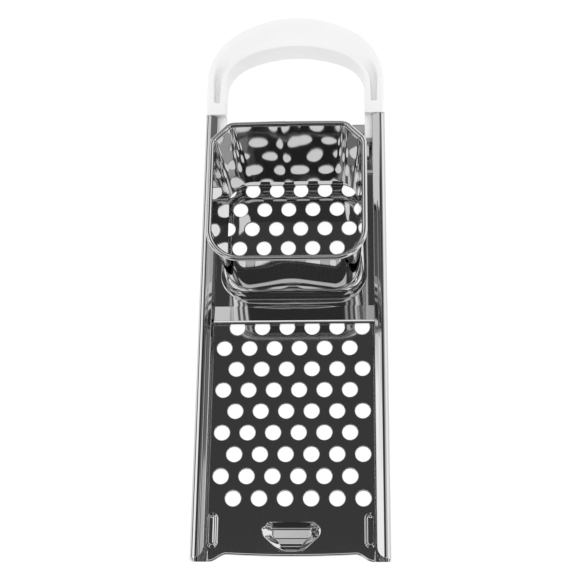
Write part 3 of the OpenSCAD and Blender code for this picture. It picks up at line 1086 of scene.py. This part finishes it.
        # How far each ring lies in from the sides, and how far from the end.
        for inset, y in ((0.7, 0.0), (0.3, 0.15), (0.0, 0.6), (0.0, 6.0), (0.0, length)):
            ring = loop - mitre(loop) * inset
            rings.append(np.insert(ring * [side, 1.0], 1, a.tenon_end + y, axis=1))
        shell.tube(rings, caps=True)

    def build(self) -> None:
        """Builds and dresses the handle."""
        shell = Shell()
        self.bow(shell)
        for side in (-1.0, 1.0):
            self.tenon(shell, side)
        dress(shell.make("white_bow", sharp=50.0), self.plastic, Body.BASE, ["bow_handle"])


# The slider with its hopper

@dataclass
class Slider:
    """Slider plate, neck, hopper wall and rolled rim."""

    at: Datum
    slider_steel: bpy.types.Material
    hopper_steel: bpy.types.Material
    front_strip: float = 10.4
    back_strip: float = 3.2
    strip_rise: float = 0.9
    back_rise: float = 0.5
    front_lip_r: float = 1.3
    lip_tilt: float = 6.7
    lip_face: float = 0.6
    lip_fold_r: float = 0.8
    lip_fold_end: float = 84.5
    strip_bend: float = 0.45
    back_lip_r: float = 0.8
    back_fall: float = 0.09
    back_step_w: float = 0.9
    neck_h: float = 8.0
    draw_w: float = 2.6
    draw_l: float = 3.2
    front_draw: float = 2.6
    front_draw_ends: float = 0.8
    front_drop: float = 4.0
    front_half: float = 30.0
    front_fade: tuple[float, float] = (0.25, 0.5)
    middle_soft: float = 0.1
    ledge_least: float = 0.03
    ledge: float = 0.55
    ledge_tilt: float = 8.0
    ledge_fade: tuple[float, float] = (0.6, 0.35)
    ledge_rise: tuple[float, float] = (2.0, 4.0)
    ledge_fall: float = 12.0
    shoulder_turn: float = 87.5
    foot_r: float = 1.0
    foot_sunk: float = 0.3
    corner_cut: float = 8.5
    corner_round: float = 0.985
    rim_cut: float = 9.4
    back_corner_r: float = 5.0
    rim_r: float = 1.5
    rim_slim: float = 0.07
    back_bulge: float = 0.5
    ring_points: int = 12
    wall_rows: int = 40
    wave: float = 0.05
    wave_across: tuple[float, float] = (0.19, 0.11)
    wave_along: tuple[float, float] = (0.17, 0.13)
    wave_turns: tuple[float, float, float] = (5.0, 3.0, 9.0)
    wave_fade: float = 0.8
    second_wave: float = 0.6
    back_band: float = 3.0
    back_fade: float = 2.0
    lap_x: float = -0.6
    lap_step: float = 0.45
    lap_w: float = 16.0
    lap_edge: float = 0.5
    lap_fade: float = 14.0

    def __post_init__(self) -> None:
        """Reads the places of the slider's CAD nodes."""
        plate, neck, rim = span("slider_plate"), span("hopper_neck"), span("rolled_rim")
        self.half_x = plate[1, 0]
        self.front, self.back = plate[0, 1], plate[1, 1]
        self.low, self.top = plate[0, 2], neck[0, 2]
        self.middle = (0.0, (neck[0, 1] + neck[1, 1]) / 2.0)
        self.neck_hx, self.neck_hy = neck[1, 0], (neck[1, 1] - neck[0, 1]) / 2.0
        self.waist_z = neck[1, 2]
        self.rim_mid = (rim[0] + rim[1]) / 2.0
        self.rim_hx, self.rim_hy = (rim[1, 0] - rim[0, 0]) / 2.0, (rim[1, 1] - rim[0, 1]) / 2.0

    def ring(
        self, hx: float, hy: float, centre: Sequence[float], grow: float = 0.0, top: float = 0.0,
    ) -> Array:
        """Rectangle with cut, rounded corners about centre, as (n, 2).

        The cut grows by 2 minus the root of 2 for each millimetre that the outline
        grows, which keeps rings parallel. A corner is fully round where its radius is the
        cut over that number; at the rim the back corners are rounded less.

        Args:
            hx: Half width.
            hy: Half length.
            centre: Middle of the ring.
            grow: How much the ring is grown outwards.
            top: Share of the way from the neck's corners to the rim's.

        Returns:
            Closed loop as (n, 2).
        """
        hx, hy = hx + grow, hy + grow
        slack = 2.0 - math.sqrt(2.0)
        cut = self.corner_cut + (self.rim_cut - self.corner_cut) * top + grow * slack
        full = self.corner_round * cut / slack
        back = full + (self.back_corner_r - full) * top
        right = np.array([[hx - cut, -hy], [hx, -(hy - cut)], [hx, hy - cut], [hx - cut, hy]])
        corners = np.vstack([right[1:], (right * [-1.0, 1.0])[::-1], right[:1]])
        radii = [full, back, back, back, back, full, full, full]
        return rounded_polygon(corners, radii, self.ring_points) + np.asarray(centre)

    def profiles(self) -> tuple[Array, Array]:
        """Top faces of the front and the back strip seen from the side, as (y, z).

        The strips rise towards both ends and turn down into lips by quarter circles. A
        bend to the flat middle is a parabola whose slope fades to 0.

        Returns:
            The front strip's points and the back strip's, each from front to back.
        """
        r, q, w = self.front_lip_r, self.back_lip_r, self.strip_bend
        crease = self.front + self.front_strip
        face = math.radians(self.lip_tilt)
        forwards = np.array([math.cos(face), math.sin(face)])
        lip_top = self.top + self.strip_rise - self.lip_face * forwards[1] - NEAR
        lip = arc((self.front + r, lip_top - r), r, 180.0, 90.0 + self.lip_tilt, 12)
        edge = lip[-1] + self.lip_face * forwards
        over = edge + self.lip_fold_r * np.array([forwards[1], -forwards[0]])
        fold = arc(over, self.lip_fold_r, 90.0 + self.lip_tilt, self.lip_fold_end, 5)[1:]
        lip = np.vstack([lip, lip[-1] + (edge - lip[-1]) * 0.1, edge, fold])
        slope = (self.top - lip[-1, 1]) / (crease - lip[-1, 0])
        bend = np.linspace(-w, w, 7)
        front = np.vstack([
            [[self.front, self.low], [self.front, self.low + 0.1]],
            lip,
            [lip[-1] + [0.15, 0.15 * slope], [crease - 0.6, self.top - 0.6 * slope]],
            np.column_stack([crease + bend, self.top - slope * (w - bend) ** 2 / (4.0 * w)]),
            [[crease + 0.6, self.top]],
        ])
        back_top = self.top + self.back_rise
        start = self.back - self.back_strip
        t = np.linspace(0.0, 1.0, 9)
        step = np.column_stack([start + self.back_step_w * t, self.top + (self.back_rise - NEAR) * smooth(t)])
        shelf, fall = back_top - self.back_fall, self.back_fall / 2.0
        roll = arc((self.back - q, shelf - q), q, 90.0 - math.degrees(math.atan(fall)), 0.0, 8)
        back = np.vstack([
            [[start - 0.3, self.top]],
            step,
            [[step[-1, 0] + 0.1, back_top - 0.015]],
            [roll[0] + [-0.1, 0.1 * fall]],
            roll,
            [[self.back, self.low + 0.1], [self.back, self.low]],
        ])
        return front, back

    def plate(self) -> bpy.types.Object:
        """Slider plate: two bent strips carried across, and a flat middle with an opening.

        Returns:
            The piece.
        """
        a = self.at
        shell = Shell()
        front, back = self.profiles()
        x = np.linspace(-self.half_x, self.half_x, 25)
        for path, inner_end, lip in ((front, -1, [0, -1]), (back, 0, [len(back) - 1, len(back)])):
            under = path + right_of(unit(np.gradient(path, axis=0))) * (a.sheet - 0.02)
            under[:, 1] = np.maximum(under[:, 1], self.low)
            under[inner_end] = [path[inner_end, 0], self.low]
            loop = np.vstack([path, under[::-1]])
            body = np.stack([np.insert(loop, 0, place, axis=1) for place in x])
            n = len(path)
            for face in (body[:, :n], body[:, n:], body[:, lip]):
                shell.grid(face)
            for end in (body[0], body[-1]):
                shell.grid([end[:n], end[n:][::-1]])
        y = np.linspace(front[-1, 0], back[0, 0], 12)
        low_edge, high_edge = (np.column_stack([x, np.full(len(x), end)]) for end in (y[0], y[-1]))
        sides = [np.column_stack([np.full(len(y), s * self.half_x), y]) for s in (-1.0, 1.0)]
        outline = np.vstack([low_edge, sides[1][1:-1], high_edge[::-1], sides[0][-2:0:-1]])
        opening = self.ring(self.neck_hx, self.neck_hy, self.middle, self.foot_r)
        inner = self.ring(self.neck_hx, self.neck_hy, self.middle, -a.sheet)
        shell.flat(outline, [opening], self.top)
        shell.flat(outline, [inner], self.low)
        for side in sides:
            shell.grid([lift(side, self.low), lift(side, self.top)])
        shell.tube([lift(inner, self.low), lift(inner, self.top), lift(opening, self.top)])
        return shell.make("slider_sheet")

    def waist(self, grow: float) -> Array:
        """Ring where the shoulder meets the hopper wall, as (n, 3).

        Along the front it is drawn in and stands highest in the middle, and both fall off
        linearly to the ends. Round the front corners this fades into the sides.

        Args:
            grow: How much the ring is grown outwards.

        Returns:
            Closed ring as (n, 3).
        """
        loop = self.ring(self.neck_hx - self.draw_w, self.neck_hy - self.draw_l, self.middle, grow)
        rel = loop - self.middle
        front = ease(-rel[:, 1] / self.neck_hy, *self.front_fade)
        soft = self.middle_soft
        ends = np.clip(np.sqrt((rel[:, 0] / self.front_half) ** 2 + soft ** 2) - soft, 0.0, 1.0)
        draw = self.front_draw + (self.front_draw_ends - self.front_draw) * ends
        loop[:, 1] -= (self.draw_l - draw) * front
        return lift(loop, self.waist_z - self.front_drop * ends * front + min(grow, 0.0))

    def shoulder(self, grow: float) -> Array:
        """Rings from the top of the neck's upright wall to the waist, as (rows, n, 3).

        They follow a quarter ellipse, and along the front they stop short of the waist by
        a ledge that is widest between the middle and the corners.

        Args:
            grow: How much the rings are grown outwards.

        Returns:
            Closed rings as (rows, n, 3).
        """
        half_drop = self.front_drop * 0.5
        high = self.waist(grow)
        wall_top = self.top + self.neck_h - half_drop
        low = lift(self.ring(self.neck_hx, self.neck_hy, self.middle, grow), wall_top)
        low[:, 2] += half_drop * (1.0 - (self.waist_z + min(grow, 0.0) - high[:, 2]) / self.front_drop)
        rel = low[:, :2] - self.middle
        front = ease(-rel[:, 1] / self.neck_hy, *self.ledge_fade)
        place = np.abs(rel[:, 0])
        ledge = self.ledge * front * ease(place, *self.ledge_rise)
        ledge = ledge * smooth((self.front_half - place) / self.ledge_fall) + self.ledge_least
        way = high - low
        fall = np.linalg.norm(way[:, :2], axis=1) * math.tan(math.radians(self.ledge_tilt))
        fall = ledge * fall / np.maximum(way[:, 2], 0.5)

        def rows(curve: Array, rest: Array) -> Array:
            """Shares of the way: the curve up to the ledge, then what rests, in three rows.

            Args:
                curve: Rising values as (k,).
                rest: What is left for the last rows, as (n,).

            Returns:
                Shares as (k + 3, n).
            """
            return np.concatenate([
                (1.0 - rest) * (curve / curve[-1])[:, None], 1.0 - rest * np.array([[0.9], [0.1], [0.0]]),
            ])

        bend = np.radians(np.linspace(0.0, self.shoulder_turn, 13))
        out, up = rows(1.0 - np.cos(bend), ledge), rows(np.sin(bend), fall)
        return low + way * np.stack([out, out, up], 2)

    def neck(self) -> bpy.types.Object:
        """Neck: a foot that curves up out of the plate, an upright wall and a shoulder
        that draws in along a quarter ellipse to the waist.

        Returns:
            The piece.
        """
        a = self.at
        end = self.top + self.neck_h - self.front_drop * 0.5
        walls = np.linspace(self.top + self.foot_r, end, 5)[1:-1]

        def skin(base: float, radius: float, grow: float) -> Array:
            """Rings of one face, from a quarter circle at height base up to the waist.

            Args:
                base: Height of the plate's face.
                radius: Radius of the foot.
                grow: How much the rings are grown outwards.

            Returns:
                Closed rings as (rows, n, 3).
            """
            sine, rise = quarter(7)
            outs = [*(radius * (1.0 - sine)), *(0.0 * walls)]
            heights = [*(base + radius * rise), *walls]
            rings = [
                lift(self.ring(self.neck_hx + out, self.neck_hy + out, self.middle, grow), z)
                for out, z in zip(outs, heights)
            ]
            return np.concatenate([rings, self.shoulder(grow)])

        outer = skin(self.top, self.foot_r, 0.0)
        inner = skin(self.low, self.foot_r + a.sheet, -a.sheet)
        shell = Shell()
        for rings in (outer, inner, [outer[-1], inner[-1]]):
            shell.tube(rings)
        shell.tube([outer[0], lift(outer[0, :, :2], self.top - self.foot_sunk), inner[0]])
        return shell.make("hopper_neck_sheet")

    def at_back(self, rel: Array, hx: float, hy: float) -> tuple[Array, Array]:
        """Bulge and lap of the wall's back at points about the middle of a ring.

        The bulge is a cosine across the back. The lap rises at once at its seam and fades
        away beside it.

        Args:
            rel: Points from the ring's middle, as (n, 2).
            hx: Half width of the ring.
            hy: Half length of the ring.

        Returns:
            The bulge in millimetres, and the lap as a share.
        """
        back = ease(rel[:, 1], hy - self.back_band, self.back_fade)
        bulge = self.back_bulge * np.cos(np.clip(rel[:, 0] / hx, -1, 1) * math.pi / 2.0)
        seam = self.lap_x - rel[:, 0]
        lap = smooth(seam / self.lap_edge) * smooth((self.lap_w - seam) / self.lap_fade)
        return back * bulge, back * lap

    def wall_rings(self, grow: float) -> Array:
        """Rings of the hopper wall from the waist to the rim, as (rows, n, 3).

        Each point runs straight from the waist to the rim. The back bulges towards the
        rim, and long sine waves give the sheet its unevenness, fading at both ends.

        Args:
            grow: How much the rings are grown outwards.

        Returns:
            Closed rings as (rows, n, 3).
        """
        (across, across_2), (along, along_2), turns = self.wave_across, self.wave_along, self.wave_turns
        low = self.waist(grow)
        reach = 2.0 * self.rim_r - self.at.sheet
        start = np.array([self.neck_hx - self.draw_w, self.neck_hy - self.draw_l])
        end = np.array([self.rim_hx - reach, self.rim_hy - reach])
        high = lift(self.ring(*end, self.rim_mid[:2], grow, 1.0), self.rim_mid[2])
        rings = []
        for t in np.linspace(0.0, 1.0, self.wall_rows):
            ring = low + (high - low) * t
            rel = ring[:, :2] - (self.middle + (self.rim_mid[:2] - self.middle) * t)
            x, y = rel.T
            fade = math.sin(math.pi * t) ** self.wave_fade
            waves = np.sin(x * across + turns[0] * t) * np.cos(y * along - turns[1] * t)
            waves += self.second_wave * np.sin(x * across_2 - y * along_2 + turns[2] * t)
            bulge, lap = self.at_back(rel, *(start + (end - start) * t))
            shift = self.wave * fade * waves + bulge * smooth(t) - self.lap_step * lap
            ring[:, :2] += unit(mitre(rel)) * shift[:, None]
            rings.append(ring)
        return np.stack(rings)

    def wall(self) -> bpy.types.Object:
        """Hopper wall as one wrapped sheet with its lap at the back.

        Returns:
            The piece.
        """
        outer, inner = self.wall_rings(0.0), self.wall_rings(-self.at.sheet)
        shell = Shell()
        for rings in (outer, inner, [outer[0], inner[0]], [outer[-1], inner[-1]]):
            shell.tube(rings)
        return shell.make("hopper_wall_sheet")

    def rim(self) -> bpy.types.Object:
        """Rolled rim: a round bead carried along the wall's top edge, thicker at the lap.

        Returns:
            The piece.
        """
        angles = np.radians(np.linspace(0.0, 360.0, 21)[:-1])
        hx, hy = self.rim_hx - self.rim_r, self.rim_hy - self.rim_r
        line = resample(self.ring(hx, hy, self.rim_mid[:2], 0.0, 1.0), 400, closed=True)
        out = unit(mitre(line))
        bulge, lap = self.at_back(line - self.rim_mid[:2], hx, hy)
        line = line + out * bulge[:, None]
        radius = (self.rim_r * (1.0 - self.rim_slim + self.rim_slim * lap))[:, None]
        plan = line[:, None] + out[:, None] * (radius * np.cos(angles))[:, :, None]
        shell = Shell()
        rings = lift(plan, self.rim_mid[2] + radius * np.sin(angles))
        shell.grid(rings, wrap_rows=True, wrap_columns=True)
        return shell.make("rolled_bead")

    def build(self) -> None:
        """Builds and dresses the slider's pieces."""
        dress(self.plate(), self.slider_steel, Body.SLIDER, ["slider_plate"])
        for piece, node in (
            (self.neck(), "hopper_neck"), (self.wall(), "hopper_wall"), (self.rim(), "rolled_rim"),
        ):
            dress(piece, self.hopper_steel, Body.SLIDER, [node])
        for name in ("left_guide", "right_guide"):
            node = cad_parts[name]
            node.data.materials.clear()
            node.data.materials.append(self.slider_steel)


# The studio

Band = tuple[float, float, float, float]


@dataclass
class Studio:
    """White tent with a dark card round the camera, a pale floor and the camera.

    The bands and steps say where each card lies: along and across are slopes over the
    object, turn is y over the distance of x from 0, and height is the direction's z.
    """

    place: tuple[float, float, float] = (40.83, -273.92, 689.97)
    tilt: float = -21.082
    pan: float = -3.349
    roll: float = 0.570
    lens: float = 83.415
    level: float = 1.3
    card_level: float = 0.08
    left_level: float = 1.8
    right_level: float = 0.85
    low_level: float = 1.7
    low_dark: float = 0.15
    second_level: float = 1.4
    least: float = 0.02
    above: tuple[float, float] = (0.0, 0.1)
    card_along: Band = (-0.75, -0.6, 0.49, 0.53)
    card_across: Band = (-0.36, -0.31, 0.325, 0.345)
    sector_slant: float = 0.6
    sector_edge: tuple[float, float] = (0.06, -0.06)
    behind_along: Band = (0.70, 0.80, 1.3, 1.6)
    before_y: tuple[float, float] = (-0.05, -0.2)
    before_along: tuple[float, float] = (-0.2, -0.4)
    high_turn: tuple[float, float] = (0.66, 0.72)
    high_along: tuple[float, float] = (2.6, 2.0)
    high_shade: tuple[float, float] = (0.35, 0.7)
    right_x: tuple[float, float] = (-0.1, 0.1)
    low_right: tuple[float, float] = (0.68, 0.6)
    low_left: Band = (0.03, 0.1, 0.4, 0.5)
    streaks: tuple[Band, ...] = (
        (-0.92, -0.86, -0.56, -0.5), (-0.28, -0.22, -0.04, 0.02), (-2.6, -2.4, -1.5, -1.3),
    )
    streak_shade: float = 0.85
    window_along: Band = (0.03, 0.045, 0.14, 0.155)
    second_along: Band = (-0.36, -0.33, -0.21, -0.18)
    second_across: Band = (-0.34, -0.3, 0.3, 0.34)
    floor_half: float = 2600.0
    floor_gap: float = 0.05
    floor_grey: float = 0.9
    floor_shine: float = 1.1
    floor_share: float = 0.5
    floor_glow: float = 0.35

    def camera(self) -> None:
        """Camera at the photograph's angle: it looks down, and the turns are about its own
        X, then Y, then Z axis from the view straight down."""
        data = bpy.data.cameras.new("camera")
        data.lens = self.lens
        data.sensor_width = 36.0
        data.clip_start = 0.01
        turn = Matrix.Identity(3)
        for angle, axis in ((self.roll, "Z"), (self.pan, "Y"), (self.tilt, "X")):
            turn = turn @ Matrix.Rotation(math.radians(angle), 3, axis)
        camera = bpy.data.objects.new("camera", data)
        camera.matrix_world = Matrix.Translation(Vector(self.place) * MM) @ turn.transposed().to_4x4()
        bpy.context.scene.collection.objects.link(camera)
        bpy.context.scene.camera = camera

    def world(self) -> None:
        """World: white to the camera, and to the light a bright tent with a dark card.

        A direction's slopes x / z and y / z place it over the object. The card covers the
        slopes round the camera, with two bright windows in it. The tent has a bright left
        and a dimmer right side, darker streaks, and other levels low down.
        """
        world = bpy.data.worlds.new("tent")
        bpy.context.scene.world = world
        world.use_nodes = True
        nodes = Nodes(world.node_tree)
        direction = nodes.add("TexCoord").outputs["Generated"]
        x, y, z = (nodes.number(s) for s in nodes.add("SeparateXYZ", Vector=direction).outputs)
        up, far = z.most(self.least), abs(x).most(self.least)
        across, along, turn = x / up, y / up, y / far
        sector = (abs(x) - abs(y) * self.sector_slant).step(*self.sector_edge)
        card = along.band(*self.card_along) * across.band(*self.card_across) * z.step(*self.above)
        behind = sector * along.band(*self.behind_along)
        before = sector * y.step(*self.before_y) * along.step(*self.before_along)
        high = turn.step(*self.high_turn) * along.step(*self.high_along)
        right = x.step(*self.right_x)
        left = 1.0 - right
        tent = self.left_level * left * (1.0 - high * self.high_shade[0])
        tent = tent + self.right_level * right * (1.0 - high * self.high_shade[1])
        tent = tent.towards(self.low_level, right * z.step(*self.low_right))
        tent = tent.towards(self.low_dark, left * z.band(*self.low_left))
        streaks, *others = (turn.band(*band) for band in self.streaks)
        for other in others:
            streaks = streaks.most(other)
        tent = tent * (1.0 - streaks * self.streak_shade)
        mirrored = tent.towards(self.card_level, card.most(behind).most(before))
        mirrored = mirrored.towards(self.left_level, along.band(*self.window_along))
        second = along.band(*self.second_along) * across.band(*self.second_across) * z.step(*self.above)
        mirrored = mirrored.towards(self.second_level, second)
        path = nodes.add("LightPath").outputs
        glossy, seen = nodes.number(path["Is Glossy Ray"]), nodes.number(path["Is Camera Ray"])
        light = self.level + glossy * (mirrored - self.level)
        shader = nodes.add("Background", Strength=light.towards(self.level, seen))
        nodes.add("OutputWorld", Surface=shader)

    def floor(self) -> None:
        """Pale floor that shines for the camera and mirrors, and keeps soft shadows."""
        shell = Shell()
        corners = np.array([[-1.0, -1.0], [1.0, -1.0], [1.0, 1.0], [-1.0, 1.0]]) * self.floor_half
        shell.add(lift(corners, -self.floor_gap), np.array([[0, 1, 2, 3]]))
        floor = shell.make("floor")
        material, nodes = Nodes.material("pale_floor")
        path = nodes.add("LightPath").outputs
        seen = nodes.number(path["Is Camera Ray"]).most(path["Is Glossy Ray"])
        seen = seen.most(path["Is Transmission Ray"])
        matt = nodes.add("BsdfDiffuse", Color=(self.floor_grey, self.floor_grey, self.floor_grey, 1.0))
        shine = nodes.add("Emission", Strength=self.floor_shine)
        both = nodes.add("MixShader", Fac=seen * self.floor_glow + self.floor_share, n1=matt, n2=shine)
        nodes.add("OutputMaterial", Surface=both)
        floor.data.materials.append(material)

    def build(self) -> None:
        """Builds the camera, the world and the floor."""
        self.camera()
        self.world()
        self.floor()
        bpy.context.scene.view_settings.view_transform = "Standard"


def main() -> None:
    """Builds the studio and every piece."""
    logging.basicConfig(level=logging.INFO, format="%(message)s")
    Studio().build()
    at = Datum.read()
    BaseSheet(at, PolishedSteel("base_steel").build()).build()
    BowHandle(at, GlossPlastic("bow_plastic").build()).build()
    Slider(
        at,
        PolishedSteel("slider_steel", seed=0.7).build(),
        PolishedSteel("hopper_steel", wave_height=0.00012, seed=1.9).build(),
    ).build()


if __name__ == "__main__":
    main()
